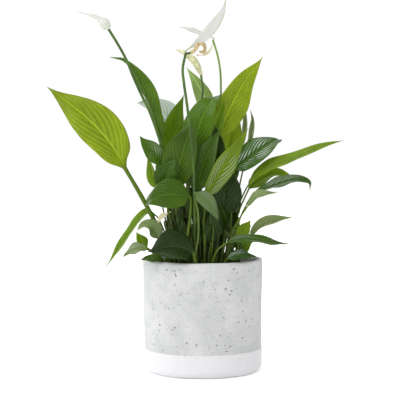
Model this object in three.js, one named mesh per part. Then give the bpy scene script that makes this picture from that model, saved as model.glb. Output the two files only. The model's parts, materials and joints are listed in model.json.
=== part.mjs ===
import * as THREE from 'three';
import { mergeVertices } from 'three/addons/utils/BufferGeometryUtils.js';

// A peace lily in a round concrete pot. Millimetres, +Z up. The origin is the middle of the pot's
// base, and -Y is the side of the pot that faces the room.

// Pot
const POT_HEIGHT = 133;
const RIM_RADIUS = 71;
const FOOT_RADIUS = 69.3;
const FOOT_ROUNDING = 9;
const WALL = 6.5;
const LIP_ROUNDING = WALL / 2;
const FLOOR_THICKNESS = 9;
const POT_SEGMENTS = 48;

// Soil
const SOIL_EDGE_HEIGHT = 115;
const SOIL_CROWN_HEIGHT = 118;
const CLEARANCE = 0.3;
const SOIL_SEGMENTS = 36;

// Leaves: a round stalk that opens into a folded blade
const STALK_FOOT_HEIGHT = SOIL_CROWN_HEIGHT + 0.4;
const STALK_SHARE = 0.1;
const THINNEST_STALK = 2.4;
const BLADE_THICKNESS = 1.2;
const STALK_RINGS = 4;
const BLADE_STOPS = [0, 0.06, 0.16, 0.3, 0.45, 0.6, 0.74, 0.86, 0.95];
const SECTION_SIDES = 8;
const WIDEST_POWER = 0.78;
const BASE_POWER = 0.95;
const TIP_POWER = 1.3;
const QUARTER_RISE = 0.62;
const MARGIN_RISE = 0.92;

// Flowers
const STEM_FOOT_HEIGHT = SOIL_CROWN_HEIGHT + 1;
const FLOWER_STEM_RADIUS = 1.5;
const STEM_STEPS = 14;
const STEM_SIDES = 8;

const COLOURS = {
  concrete: '#d3d6d5',
  soil: '#3a2c20',
  deepGreen: '#3c6a1c',
  freshGreen: '#6f9e2a',
  paleGreen: '#8fae7c',
  stemGreen: '#5d8038',
  spathe: '#f1f2e6',
  witheredSpadix: '#b08a58',
  dryBract: '#e4dcc0',
};

const group = new THREE.Group();

function finish(colour, roughness) {
  return new THREE.MeshStandardMaterial({ color: COLOURS[colour], roughness, metalness: 0 });
}

function add(name, geometry, material) {
  const mesh = new THREE.Mesh(geometry, material);
  mesh.name = name;
  group.add(mesh);
}

function closed(geometry) {
  geometry.deleteAttribute('normal');
  geometry.deleteAttribute('uv');
  return mergeVertices(geometry, 1e-4);
}

function points3(list) {
  return list.map(([x, y, z = STALK_FOOT_HEIGHT]) => new THREE.Vector3(x, y, z));
}

// --- pot and soil --------------------------------------------------------------------------------

function lathe(outline, segments) {
  const geometry = new THREE.LatheGeometry(outline, segments);
  geometry.rotateX(Math.PI / 2);
  return closed(geometry);
}

function arc(cx, cz, radius, from, to, steps) {
  const curve = new THREE.EllipseCurve(cx, cz, radius, radius, from, to, to < from);
  return curve.getPoints(steps);
}

function potGeometry() {
  const foot = arc(FOOT_RADIUS - FOOT_ROUNDING, FOOT_ROUNDING, FOOT_ROUNDING, -Math.PI / 2, 0, 5);
  const lip = arc(RIM_RADIUS - LIP_ROUNDING, POT_HEIGHT - LIP_ROUNDING, LIP_ROUNDING, 0, Math.PI, 6);
  const cornerRadius = FOOT_ROUNDING - 2;
  const corner = arc(
    FOOT_RADIUS - WALL - cornerRadius, FLOOR_THICKNESS + cornerRadius, cornerRadius, 0, -Math.PI / 2, 3,
  );
  const floorMiddle = new THREE.Vector2(0, FLOOR_THICKNESS);
  const outline = [new THREE.Vector2(0, 0), ...foot, ...lip, ...corner, floorMiddle];
  return lathe(outline, POT_SEGMENTS);
}

function innerRadius(z) {
  const up = (z - FOOT_ROUNDING) / (POT_HEIGHT - LIP_ROUNDING - FOOT_ROUNDING);
  return FOOT_RADIUS - WALL + up * (RIM_RADIUS - FOOT_RADIUS) - CLEARANCE;
}

function soilGeometry() {
  const bottom = FLOOR_THICKNESS + CLEARANCE;
  const bevel = FOOT_ROUNDING;
  const outline = [
    new THREE.Vector2(0, bottom),
    new THREE.Vector2(innerRadius(bottom) - bevel, bottom),
    new THREE.Vector2(innerRadius(bottom + bevel) - CLEARANCE, bottom + bevel),
    new THREE.Vector2(innerRadius(SOIL_EDGE_HEIGHT) - CLEARANCE, SOIL_EDGE_HEIGHT),
    new THREE.Vector2(RIM_RADIUS * 0.62, SOIL_CROWN_HEIGHT),
    new THREE.Vector2(0, SOIL_CROWN_HEIGHT),
  ];
  return lathe(outline, SOIL_SEGMENTS);
}

// --- lofted pieces -------------------------------------------------------------------------------

// A cone is bent along a curve and its rings are reshaped: its foot is the start of the curve and
// its point is the end. `stops` are the rings' places along the curve, and `section` gives the
// (across, up) outline of each ring, starting over the middle and going round past the right edge.
// A level foot stands flat on the soil, however the curve leans.
function loft(curve, stops, section, faceAt, levelFoot) {
  const rings = stops.length;
  const cone = new THREE.ConeGeometry(1, 1, SECTION_SIDES, rings);
  const position = cone.attributes.position;
  const corner = new THREE.Vector3();
  for (let i = 0; i < position.count; i += 1) {
    corner.fromBufferAttribute(position, i);
    const fromPoint = 0.5 - corner.y;
    const ring = rings - Math.round(fromPoint * rings);
    const place = ring === rings ? 1 : stops[ring];
    const centre = curve.getPointAt(place);
    const along = curve.getTangentAt(place);
    const side = new THREE.Vector3().crossVectors(along, faceAt(place)).normalize();
    const up = new THREE.Vector3().crossVectors(side, along);
    const onEdge = ring < rings && Math.hypot(corner.x, corner.z) > fromPoint / 2;
    if (onEdge) {
      const turn = Math.atan2(corner.x, corner.z) / (2 * Math.PI);
      const column = Math.round((turn + 1) * SECTION_SIDES) % SECTION_SIDES;
      const [across, height] = section(ring)[column];
      centre.addScaledVector(side, across).addScaledVector(up, height);
    }
    if (ring === 0 && levelFoot) {
      centre.z = curve.points[0].z;
    }
    position.setXYZ(i, centre.x, centre.y, centre.z);
  }
  return closed(cone);
}

function roundSection(radius) {
  return Array.from({ length: SECTION_SIDES }, (_, k) => {
    const turn = (2 * Math.PI * k) / SECTION_SIDES;
    return [radius * Math.sin(turn), radius * Math.cos(turn)];
  });
}

// Both halves of a blade rise from the midrib and level off towards the margin.
function bladeSection(halfWidth, fold, thickness, ribDepth) {
  const slope = Math.tan(THREE.MathUtils.degToRad(fold));
  const quarter = halfWidth * slope * QUARTER_RISE;
  const margin = halfWidth * slope * MARGIN_RISE;
  return [
    [0, 0],
    [halfWidth / 2, quarter],
    [halfWidth, margin],
    [halfWidth / 2, quarter - thickness],
    [0, -ribDepth],
    [-halfWidth / 2, quarter - thickness],
    [-halfWidth, margin],
    [-halfWidth / 2, quarter],
  ];
}

function mixSections(first, second, share) {
  return first.map(([x, z], k) => [x + (second[k][0] - x) * share, z + (second[k][1] - z) * share]);
}

// Half the width of a blade of width 1 at t, from its neck (0) to its drip tip (1).
function bladeOutline(t) {
  const round = Math.sin(Math.PI * Math.min(1, t) ** WIDEST_POWER);
  return 0.5 * round ** (t ** WIDEST_POWER < 0.5 ? BASE_POWER : TIP_POWER);
}

function leafGeometry({ stalk, blade, width, faces, tipFaces = faces, fold = 18, stalkWidth }) {
  const neckIndex = stalk.length;
  const path = points3([...stalk, ...blade]);
  const curve = new THREE.CatmullRomCurve3(path, false, 'centripetal');
  const divisions = 60 * (path.length - 1);
  curve.arcLengthDivisions = divisions;
  const lengths = curve.getLengths(divisions);
  const neck = lengths[60 * neckIndex] / lengths[divisions];
  const stalkRadius = (stalkWidth ?? Math.max(THINNEST_STALK, STALK_SHARE * width)) / 2;
  const stalkRings = neckIndex > 0 ? STALK_RINGS : 0;
  const stalkStops = Array.from({ length: stalkRings }, (_, i) => (neck * i) / STALK_RINGS);
  const stops = [...stalkStops, ...BLADE_STOPS.map((t) => neck + (1 - neck) * t)];
  const sections = stops.map((place) => {
    const t = Math.max(0, (place - neck) / (1 - neck));
    const radius = stalkRadius * (1 - 0.25 * Math.min(1, place / Math.max(neck, 0.01)));
    const half = Math.max(width * bladeOutline(t), radius * (1 - t));
    const ribDepth = Math.max(BLADE_THICKNESS, 1.6 * radius * (1 - t));
    const thickness = Math.min(BLADE_THICKNESS, 0.6 * half);
    const flat = bladeSection(half, fold, thickness, Math.min(ribDepth, half));
    return mixSections(roundSection(radius), flat, THREE.MathUtils.smoothstep(t, 0, 0.14));
  });
  const base = new THREE.Vector3(...faces);
  const end = new THREE.Vector3(...tipFaces);
  const faceAt = (place) => base.clone().lerp(end, THREE.MathUtils.smoothstep(place, neck, 1));
  return loft(curve, stops, (ring) => sections[ring], faceAt, neckIndex > 0);
}

function leaf(name, form, colour = 'deepGreen') {
  add(name, leafGeometry(form), finish(colour, 0.35));
}

// --- the leaves: foot of the stalk (on the soil), stalk, then neck to tip of the blade --------------

// left side
leaf('far_left_leaf', {
  width: 50, faces: [0.25, -1, 0.25], fold: 14, stalkWidth: 6.5,
  stalk: [[-30, -12], [-50, -14, 165], [-73, -14, 210]],
  blade: [[-88, -14, 236], [-109, -18, 272], [-139, -16, 303], [-182, -8, 336]],
}, 'freshGreen');
leaf('tall_left_leaf', {
  width: 30, faces: [0.85, -0.5, 0.2], fold: 26,
  stalk: [[-16, 0], [-28, -1, 190], [-42, -1, 250]],
  blade: [[-46, -1, 267], [-57, 0, 300], [-71, 0, 336], [-89, -3, 364], [-109, -5, 370]],
});
leaf('pale_left_back_leaf', {
  width: 36, faces: [0.3, -0.8, 0.5],
  stalk: [[-14, 28], [-22, 40, 190], [-33, 52, 262]],
  blade: [[-36, 54, 280], [-45, 58, 301], [-60, 59, 314], [-79, 55, 318]],
}, 'paleGreen');
leaf('upright_left_leaf', {
  width: 28, faces: [0.2, -1, 0.1],
  stalk: [[-18, 13], [-30, 16, 190]],
  blade: [[-39, 17, 242], [-37, 18, 272], [-31, 17, 300], [-21, 16, 327]],
}, 'freshGreen');
leaf('left_pointed_leaf', {
  width: 24, faces: [0.3, -0.9, 0.4],
  stalk: [[-24, -6], [-36, -12, 190]],
  blade: [[-45, -20, 243], [-54, -22, 254], [-64, -22, 266], [-73, -20, 278]],
});
leaf('left_slim_leaf', {
  width: 16, faces: [-0.7, -0.7, 0], fold: 25,
  stalk: [[-30, 2], [-42, 4, 170]],
  blade: [[-52, 4, 214], [-57, 4, 226], [-60, 4, 240], [-64, 4, 256]],
}, 'freshGreen');
leaf('left_arching_leaf', {
  width: 17, faces: [-0.2, -0.45, 0.85], tipFaces: [-0.75, -0.5, 0.5], fold: 22,
  stalk: [[-36, 4], [-44, 2, 160]],
  blade: [[-52, 0, 180], [-66, -2, 187], [-81, -4, 169], [-99, -6, 144], [-117, -6, 120]],
}, 'freshGreen');
leaf('left_sage_leaf', {
  width: 18, faces: [-0.2, -0.75, 0.6],
  stalk: [[-38, -18], [-44, -20, 142]],
  blade: [[-50, -22, 156], [-58, -26, 172], [-68, -28, 174], [-77, -28, 167]],
}, 'paleGreen');
leaf('left_lime_leaf', {
  width: 14, faces: [0.1, -0.8, 0.6],
  stalk: [[-42, -10], [-54, -14, 139]],
  blade: [[-64, -16, 146], [-70, -18, 153], [-78, -18, 166]],
}, 'freshGreen');
leaf('left_low_pale_leaf', {
  width: 18, faces: [0, -0.6, 0.8],
  stalk: [[-38, -28], [-52, -36, 138]],
  blade: [[-63, -38, 146], [-76, -40, 147], [-92, -40, 138]],
}, 'paleGreen');
leaf('left_rim_leaf', {
  width: 18, faces: [0, -0.5, 0.9], fold: 12,
  stalk: [[-30, -36], [-38, -42, 129]],
  blade: [[-44, -46, 135], [-56, -47, 137], [-72, -44, 135]],
});

// centre
leaf('big_centre_leaf', {
  width: 42, faces: [-0.25, -1, 0.1],
  stalk: [[-12, -14], [-22, -20, 160]],
  blade: [[-32, -26, 212], [-27, -28, 242], [-18, -28, 272], [-9, -26, 300]],
});
leaf('bluish_centre_leaf', {
  width: 27, faces: [-0.1, -1, 0.1], fold: 12,
  stalk: [[-18, -26], [-34, -33, 170]],
  blade: [[-44, -35, 214], [-43, -37, 228], [-38, -38, 241], [-31, -37, 252]],
});
leaf('round_front_leaf', {
  width: 37, faces: [0.1, -0.9, 0.35], tipFaces: [-0.9, -0.3, 0.3], fold: 12,
  stalk: [[-14, -34], [-17, -41, 165]],
  blade: [[-13, -45, 204], [-31, -52, 210], [-49, -54, 209], [-61, -48, 203], [-63, -37, 196]],
}, 'freshGreen');
leaf('small_centre_leaf', {
  width: 19, faces: [0.5, -0.85, 0.1], fold: 18, stalkWidth: 3,
  stalk: [[-12, -41], [-8, -47, 145], [-4, -53, 180]],
  blade: [[-9, -58, 211], [0, -62, 207], [10, -63, 196], [18, -62, 181]],
}, 'paleGreen');
leaf('low_front_leaf', {
  width: 44, faces: [0, -0.75, 0.65], fold: 10,
  stalk: [[-5, -47], [-8, -52, 130]],
  blade: [[-10, -52, 141], [-26, -60, 151], [-44, -66, 151], [-63, -70, 146]],
});
leaf('upper_centre_leaf', {
  width: 40, faces: [-0.2, -1, 0.15], tipFaces: [-0.2, -0.4, 0.9], fold: 10,
  stalk: [[-4, -4], [-12, -5, 190]],
  blade: [[-17, -8, 240], [-9, -12, 270], [0, -14, 297], [9, -11, 316], [17, 3, 323], [24, 16, 327]],
});
leaf('light_strip_leaf', {
  width: 18, faces: [0.3, -0.9, 0.2],
  stalk: [[2, 4], [4, 3, 200]],
  blade: [[9, 2, 262], [14, 0, 282], [21, 0, 302], [27, -2, 320]],
}, 'freshGreen');
leaf('tall_right_leaf', {
  width: 38, faces: [0.3, -1, -0.1], fold: 12,
  stalk: [[8, 16], [12, 20, 200]],
  blade: [[18, 22, 268], [33, 18, 308], [50, 16, 340], [73, 18, 371]],
}, 'freshGreen');
leaf('pale_upper_leaf', {
  width: 21, faces: [-0.2, 0.9, 0.3],
  stalk: [[2, 28], [8, 36, 220]],
  blade: [[11, 40, 292], [6, 42, 316], [-4, 42, 338], [-19, 40, 361]],
}, 'paleGreen');
leaf('bright_back_leaf', {
  width: 26, faces: [0.4, -0.9, 0],
  stalk: [[14, 24], [22, 30, 200]],
  blade: [[29, 34, 250], [34, 38, 276], [36, 38, 298], [34, 34, 322]],
}, 'freshGreen');
leaf('dark_gap_leaf', {
  width: 26, faces: [0.1, -1, 0.1],
  stalk: [[8, 2], [10, 0, 180]],
  blade: [[10, -2, 232], [14, -4, 254], [16, -4, 272], [16, -4, 290]],
});
leaf('front_diagonal_leaf', {
  width: 26, faces: [0.4, -0.9, -0.1], fold: 20,
  stalk: [[2, -30], [2, -36, 165]],
  blade: [[4, -40, 204], [17, -44, 230], [33, -46, 256], [53, -44, 286]],
}, 'freshGreen');
leaf('olive_centre_leaf', {
  width: 30, faces: [-0.3, -0.95, 0.1],
  stalk: [[-4, -18], [-8, -22, 165]],
  blade: [[-7, -26, 208], [-2, -28, 234], [8, -28, 260], [22, -24, 286]],
});

// right side
leaf('broad_dark_leaf', {
  width: 40, faces: [0.15, -1, 0], fold: 10,
  stalk: [[12, -14], [17, -16, 150]],
  blade: [[21, -18, 178], [25, -22, 202], [27, -22, 228], [29, -18, 252]],
});
leaf('striped_right_leaf', {
  width: 37, faces: [-0.4, -0.85, 0.4], tipFaces: [0.3, -0.3, 0.9], fold: 13,
  stalk: [[18, 6], [28, 6, 190]],
  blade: [[37, 4, 234], [56, -1, 251], [75, -3, 265], [89, 5, 273], [93, 18, 268]],
});
leaf('long_right_leaf', {
  width: 24, faces: [-0.25, -0.5, 0.85], fold: 20,
  stalk: [[24, -4], [36, -6, 175]],
  blade: [[51, -8, 214], [74, -10, 237], [104, -10, 248], [138, -10, 263], [168, -8, 272]],
}, 'freshGreen');
leaf('bright_right_leaf', {
  width: 26, faces: [-0.1, -0.55, 0.8],
  stalk: [[26, 12], [40, 16, 175]],
  blade: [[55, 20, 212], [69, 22, 223], [86, 22, 231], [108, 20, 229]],
}, 'freshGreen');
leaf('hooked_right_leaf', {
  width: 20, faces: [-0.1, -0.35, 0.95], tipFaces: [0.7, -0.6, 0.5], fold: 20,
  stalk: [[26, -18], [42, -24, 175]],
  blade: [[58, -30, 209], [83, -33, 219], [107, -35, 226], [123, -36, 223], [124, -36, 212]],
});
leaf('pale_right_leaf', {
  width: 18, faces: [-0.3, -0.4, 0.85],
  stalk: [[22, -30], [34, -38, 165]],
  blade: [[51, -46, 195], [64, -50, 208], [87, -50, 213]],
}, 'paleGreen');
leaf('slim_back_right_leaf', {
  width: 14, faces: [-0.9, -0.35, 0.3], fold: 24,
  stalk: [[20, 24], [32, 34, 200]],
  blade: [[42, 42, 252], [51, 44, 272], [54, 44, 294], [50, 44, 318]],
}, 'paleGreen');
leaf('thin_back_right_leaf', {
  width: 13, faces: [-0.9, -0.4, 0.1], fold: 24,
  stalk: [[24, 34], [42, 46, 200]],
  blade: [[55, 54, 258], [61, 56, 276], [63, 56, 294], [58, 54, 311]],
}, 'paleGreen');
leaf('wavy_right_leaf', {
  width: 22, faces: [-0.1, -0.45, 0.9], fold: 22,
  stalk: [[36, -8], [46, -12, 140]],
  blade: [[54, -16, 156], [68, -20, 171], [86, -22, 178], [108, -20, 183]],
}, 'paleGreen');
leaf('small_right_leaf', {
  width: 16, faces: [-0.2, -0.9, 0.3],
  stalk: [[34, -22], [40, -26, 142]],
  blade: [[43, -30, 156], [48, -32, 167], [56, -32, 180]],
}, 'freshGreen');
leaf('low_right_leaf', {
  width: 22, faces: [0, -0.4, 0.95], fold: 14,
  stalk: [[8, -44], [16, -52, 145]],
  blade: [[26, -54, 154], [46, -56, 159], [72, -56, 156], [103, -54, 153]],
});
leaf('low_bright_right_leaf', {
  width: 20, faces: [0, -0.9, 0.4],
  stalk: [[38, 2], [40, 0, 132]],
  blade: [[41, -1, 140], [47, -3, 147], [54, -3, 152], [62, -2, 154]],
}, 'freshGreen');
leaf('right_rim_leaf', {
  width: 18, faces: [0, -0.6, 0.8], fold: 12,
  stalk: [[20, -40], [24, -48, 130]],
  blade: [[28, -50, 136], [44, -54, 141], [63, -48, 138]],
});

// back: these lean away from the front, and droop at their tips
const backFaces = { faces: [0, -0.7, 0.7], tipFaces: [0, 0.6, 0.8] };
leaf('back_low_left_leaf', {
  width: 38, ...backFaces,
  stalk: [[-12, 44], [-16, 46, 130]],
  blade: [[-21, 52, 142], [-28, 70, 158], [-34, 92, 168], [-40, 118, 160]],
});
leaf('back_low_middle_leaf', {
  width: 38, ...backFaces,
  stalk: [[6, 46], [7, 50, 134]],
  blade: [[8, 56, 148], [9, 76, 176], [10, 100, 190], [10, 128, 182]],
});
leaf('back_low_right_leaf', {
  width: 34, ...backFaces,
  stalk: [[24, 44], [30, 48, 130]],
  blade: [[36, 54, 142], [42, 70, 156], [47, 90, 164], [52, 114, 156]],
});
leaf('back_high_left_leaf', {
  width: 36, ...backFaces,
  stalk: [[-26, 24], [-33, 38, 170]],
  blade: [[-36, 52, 204], [-39, 70, 230], [-42, 94, 244], [-48, 124, 236]],
});
leaf('back_high_middle_leaf', {
  width: 42, ...backFaces,
  stalk: [[-2, 38], [-3, 52, 180]],
  blade: [[-3, 70, 224], [-2, 90, 254], [0, 114, 268], [5, 144, 260]],
});
leaf('back_high_right_leaf', {
  width: 38, ...backFaces,
  stalk: [[16, 34], [22, 46, 170]],
  blade: [[25, 60, 206], [29, 78, 234], [33, 104, 248], [38, 134, 240]],
});
leaf('back_upright_leaf', {
  width: 34, faces: [-0.2, 0.95, 0.2],
  stalk: [[-8, 36], [-15, 48, 180]],
  blade: [[-19, 56, 222], [-19, 60, 246], [-15, 63, 270], [-8, 64, 294]],
}, 'freshGreen');
leaf('back_slant_leaf', {
  width: 30, faces: [0.3, 0.9, 0.3],
  stalk: [[10, 28], [16, 40, 180]],
  blade: [[20, 50, 226], [25, 56, 250], [31, 60, 274], [40, 62, 298]],
});

// --- flowers -------------------------------------------------------------------------------------

function stem(name, path, radius = FLOWER_STEM_RADIUS) {
  const circle = new THREE.Shape().absarc(0, 0, radius, 0, 2 * Math.PI);
  const geometry = new THREE.ExtrudeGeometry(circle, {
    steps: STEM_STEPS,
    curveSegments: STEM_SIDES / 2,
    extrudePath: new THREE.CatmullRomCurve3(points3(path), false, 'centripetal'),
  });
  add(name, closed(geometry), finish('stemGreen', 0.5));
}

stem('left_flower_stem', [
  [-20, -8, STEM_FOOT_HEIGHT], [-34, -12, 200], [-47, -15, 263],
  [-62, -18, 308], [-75, -18, 335], [-90, -16, 371], [-109.3, -16, 403.4],
]);
stem('main_flower_stem', [
  [-8, -28, STEM_FOOT_HEIGHT], [-9, -44, 190], [-10, -46, 243],
  [-15, -46, 296], [-19, -40, 328], [-22, -34, 352], [-18.5, -30, 372],
]);
stem('closed_flower_stem', [
  [0, 14, STEM_FOOT_HEIGHT], [-2, 20, 230], [0, 24, 319], [1, 24, 340], [-1, 24, 351],
], 1.3);
stem('right_flower_stem', [
  [6, 26, STEM_FOOT_HEIGHT], [18, 32, 230], [23, 30, 332], [21, 28, 365], [13.5, 28, 392],
], 1.2);
stem('young_flower_stem', [
  [-24, -14, STEM_FOOT_HEIGHT], [-29, -24, 165], [-33, -27, 182], [-39, -28, 187],
], 1.1);

// A flower's white leaf, open or rolled shut, is a blade with no stalk.
function spathe(name, form, colour = 'spathe') {
  add(name, leafGeometry({ ...form, stalk: [] }), finish(colour, 0.55));
}

spathe('left_flower_spathe', {
  width: 10, faces: [0.5, -0.8, 0.5], fold: 30,
  blade: [[-110, -16, 405], [-116, -16, 410], [-126, -16, 416], [-145, -16, 422]],
});
spathe('main_flower_spathe', {
  width: 24, faces: [0.85, -0.4, -0.3], fold: 20,
  blade: [[-17, -30, 376], [-2, -30, 390], [12, -29, 406], [23, -27, 422], [30, -25, 440]],
});
spathe('closed_flower_spathe', {
  width: 10, faces: [0, -1, 0.3], fold: 45,
  blade: [[-1.2, 24, 352.5], [-6, 24, 361], [-13, 24, 370], [-22, 24, 377], [-31, 24, 380]],
});
spathe('right_flower_spathe', {
  width: 13, faces: [-0.4, -0.4, -0.9], fold: 22,
  blade: [[12, 28, 395], [3, 28, 400], [-9, 27, 405], [-27, 26, 407]],
});
spathe('young_flower_spathe', {
  width: 7, faces: [0, -0.8, 0.6], fold: 30,
  blade: [[-40.6, -28.3, 187.4], [-45, -30, 185], [-49, -30, 181], [-52, -30, 176]],
}, 'dryBract');

// The old spadix of the main flower has dried and curled up under its spathe.
function spadix(name, path, radius) {
  const circle = new THREE.Shape().absarc(0, 0, radius, 0, 2 * Math.PI);
  const geometry = new THREE.ExtrudeGeometry(circle, {
    steps: STEM_STEPS,
    curveSegments: STEM_SIDES / 2,
    extrudePath: new THREE.CatmullRomCurve3(points3(path), false, 'centripetal'),
  });
  add(name, closed(geometry), finish('witheredSpadix', 0.9));
}

spadix('withered_spadix', [
  [-12, -38, 373], [-7, -40, 376], [-3, -40, 382],
  [2, -40, 382], [4, -38, 377], [1, -36, 373], [-3, -35, 374],
], 2);
spathe('dry_bract', {
  width: 6, faces: [-0.5, -0.5, 0.8], fold: 20,
  blade: [[-2, -34, 369.5], [4, -33, 370], [10, -32, 375], [13, -32, 384]],
}, 'dryBract');

add('pot', potGeometry(), finish('concrete', 0.9));
add('soil', soilGeometry(), finish('soil', 1));

export default group;
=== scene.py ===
# %% [markdown]
# # A peace lily in a concrete pot
# The plant is a clump of separate leaves, each with its own stalk, standing in potting soil, with a
# few white flowers above them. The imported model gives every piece's place and outline. This script
# loads it, reads each plain solid back, and builds a fine piece of the same shape in its place.

# %% Load the frame
import json
import math

import bmesh
import bpy
import numpy as np
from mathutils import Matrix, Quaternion, Vector


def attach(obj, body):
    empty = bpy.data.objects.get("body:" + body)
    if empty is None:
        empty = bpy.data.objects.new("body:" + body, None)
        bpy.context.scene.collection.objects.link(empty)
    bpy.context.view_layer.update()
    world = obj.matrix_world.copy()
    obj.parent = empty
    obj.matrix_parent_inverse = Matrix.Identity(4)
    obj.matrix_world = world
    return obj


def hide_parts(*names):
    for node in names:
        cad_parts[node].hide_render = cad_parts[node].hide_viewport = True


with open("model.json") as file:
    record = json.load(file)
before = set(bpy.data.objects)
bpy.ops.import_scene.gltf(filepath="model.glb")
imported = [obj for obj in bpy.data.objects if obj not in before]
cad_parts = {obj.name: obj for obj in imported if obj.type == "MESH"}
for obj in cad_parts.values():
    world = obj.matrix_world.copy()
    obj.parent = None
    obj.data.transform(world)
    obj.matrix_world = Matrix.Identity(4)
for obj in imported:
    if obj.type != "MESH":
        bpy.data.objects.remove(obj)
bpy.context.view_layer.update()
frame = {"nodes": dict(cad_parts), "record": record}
MM = 0.001

# %% [markdown]
# ## Camera
# A long lens from a metre and a half away keeps the pot's sides nearly parallel, as a catalogue
# picture does. The camera stands just above the leaves and looks slightly down, so a thin sliver
# of the pot's mouth shows.

# %% Camera
CAMERA_DISTANCE = 1.54
CAMERA_HEIGHT = 0.273
AIM_HEIGHT = 0.2016
SIDE_STEP = -0.0027
LENS_MM = 117.5
CAMERA_ROLL = math.radians(0.25)

camera_data = bpy.data.cameras.new("camera")
camera_data.lens = LENS_MM
camera_data.sensor_width = 36
camera_data.clip_end = 50
camera = bpy.data.objects.new("camera", camera_data)
camera.location = (SIDE_STEP, -CAMERA_DISTANCE, CAMERA_HEIGHT)
view_line = Vector((SIDE_STEP, 0, AIM_HEIGHT)) - camera.location
camera.rotation_mode = "QUATERNION"
camera.rotation_quaternion = view_line.to_track_quat("-Z", "Y")
camera.rotation_quaternion.rotate(Quaternion(view_line.normalized(), CAMERA_ROLL))
bpy.context.scene.collection.objects.link(camera)
bpy.context.scene.camera = camera
print("camera at", tuple(round(v, 3) for v in camera.location))

# %% [markdown]
# ## Shader maths in plain Python
# A node tree is easier to read as sums. `Value` wraps a socket, so `1 - mask * 0.5` adds the Math
# nodes by itself. Colours never go through Math nodes, which would turn them grey, so they have
# `blend`, and any other node comes from `Finish.node`.

# %% Shader helpers
class Value:
    """A node socket that can be added, multiplied and compared like a number."""

    def __init__(self, finish, socket):
        self.finish, self.socket = finish, socket

    def _maths(self, operation, *values):
        inputs = dict(enumerate(values))
        return self.finish.node("ShaderNodeMath", {"operation": operation}, inputs)

    def __add__(self, other): return self._maths("ADD", self, other)
    def __radd__(self, other): return self._maths("ADD", other, self)
    def __sub__(self, other): return self._maths("SUBTRACT", self, other)
    def __rsub__(self, other): return self._maths("SUBTRACT", other, self)
    def __mul__(self, other): return self._maths("MULTIPLY", self, other)
    def __rmul__(self, other): return self._maths("MULTIPLY", other, self)
    def __abs__(self): return self._maths("ABSOLUTE", self)
    def __gt__(self, other): return self._maths("GREATER_THAN", self, other)
    def sin(self): return self._maths("SINE", self)

    def ramp(self, low, high, from_value=0.0, to_value=1.0):
        """Smoothly from from_value to to_value while this goes from low to high."""
        return self.finish.node(
            "ShaderNodeMapRange", {"interpolation_type": "SMOOTHSTEP"},
            {"Value": self, "From Min": low, "From Max": high, "To Min": from_value, "To Max": to_value},
        )


class Finish:
    """One material, or the world, under construction."""

    def __init__(self, name, world=None):
        self.material = world or bpy.data.materials.new(name)
        self.material.use_nodes = True
        self.tree = self.material.node_tree
        self.tree.nodes.clear()
        self.output = self.tree.nodes.new("ShaderNodeOutputWorld" if world else "ShaderNodeOutputMaterial")

    def node(self, kind, settings=None, inputs=None, output=0):
        """Adds a node, sets it up, then gives its sockets their values or links."""
        made = self.tree.nodes.new(kind)
        for key, value in (settings or {}).items():
            setattr(made, key, value)
        for key, value in (inputs or {}).items():
            socket = made.inputs[key]
            if isinstance(value, Value):
                self.tree.links.new(value.socket, socket)
            else:
                socket.default_value = value
        return Value(self, made.outputs[output])

    def blend(self, share, first, second):
        """A colour between first and second."""
        first, second = (c if isinstance(c, Value) else (*c, 1.0) for c in (first, second))
        return self.node("ShaderNodeMix", {"data_type": "RGBA"}, {0: share, 6: first, 7: second}, output=2)

    def noise(self, where, scale, detail=2.0, roughness=0.5):
        return self.node("ShaderNodeTexNoise", {}, {
            "Vector": where, "Scale": scale, "Detail": detail, "Roughness": roughness,
        })

    def place(self):
        """Where a point is on the piece, in metres."""
        return self.node("ShaderNodeTexCoord", output="Object")

    def chart(self, name):
        """The two numbers kept in a UV map."""
        chart = self.node("ShaderNodeUVMap", {"uv_map": name})
        return [self.node("ShaderNodeSeparateXYZ", {}, {"Vector": chart}, output=axis) for axis in "XY"]

    def skin(self, colour, rough, specular, relief, strength, distance, **more):
        """A principled shader with a bump; relief is the height that the bump reads."""
        bump = self.node("ShaderNodeBump", {}, {
            "Strength": strength, "Distance": distance, "Height": relief,
        })
        return self.node("ShaderNodeBsdfPrincipled", {}, {
            "Base Color": colour, "Roughness": rough, "Specular IOR Level": specular, "Normal": bump, **more,
        })

    def surface(self, shader):
        self.tree.links.new(shader.socket, self.output.inputs["Surface"])
        return self.material


print("shader helpers ready")

# %% [markdown]
# ## Reading a bent solid back
# Every leaf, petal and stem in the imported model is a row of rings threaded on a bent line. A leaf
# ring has eight points: two margins, three points above and three below. The rings are found by
# walking the mesh outwards from the leaf's tip, one ring at a step, and each ring's points are then
# put in the same order, so that eight smooth lines run down the leaf.

# %% Rings of a leaf
RING_POINTS = 8
BLADE_RINGS = 9
LEFT, TOP, RIGHT, BELOW = 0, 2, 4, 6
WELD = 0.02 * MM


def welded(node):
    """The solid's points, and each point's neighbours along its edges."""
    mesh = bmesh.new()
    mesh.from_mesh(frame["nodes"][node].data)
    bmesh.ops.remove_doubles(mesh, verts=mesh.verts, dist=WELD)
    mesh.verts.ensure_lookup_table()
    mesh.verts.index_update()
    points = np.array([v.co[:] for v in mesh.verts])
    near = [{e.other_vert(v).index for e in v.link_edges} for v in mesh.verts]
    mesh.free()
    return points, near


def layers_from(start, near):
    """Sets of points at 0, 1, 2 ... edges from the start."""
    seen, layer, found = set(start), set(start), [set(start)]
    while layer:
        layer = {n for v in layer for n in near[v]} - seen
        seen |= layer
        if layer:
            found.append(layer)
    return found


def round_trip(layer, near):
    """A ring's points in the order of its edges."""
    start = min(layer)
    order, previous, current = [start], None, start
    while len(order) < len(layer):
        step = [n for n in near[current] & layer if n != previous and n not in order]
        previous, current = current, step[0]
        order.append(current)
    return order


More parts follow.
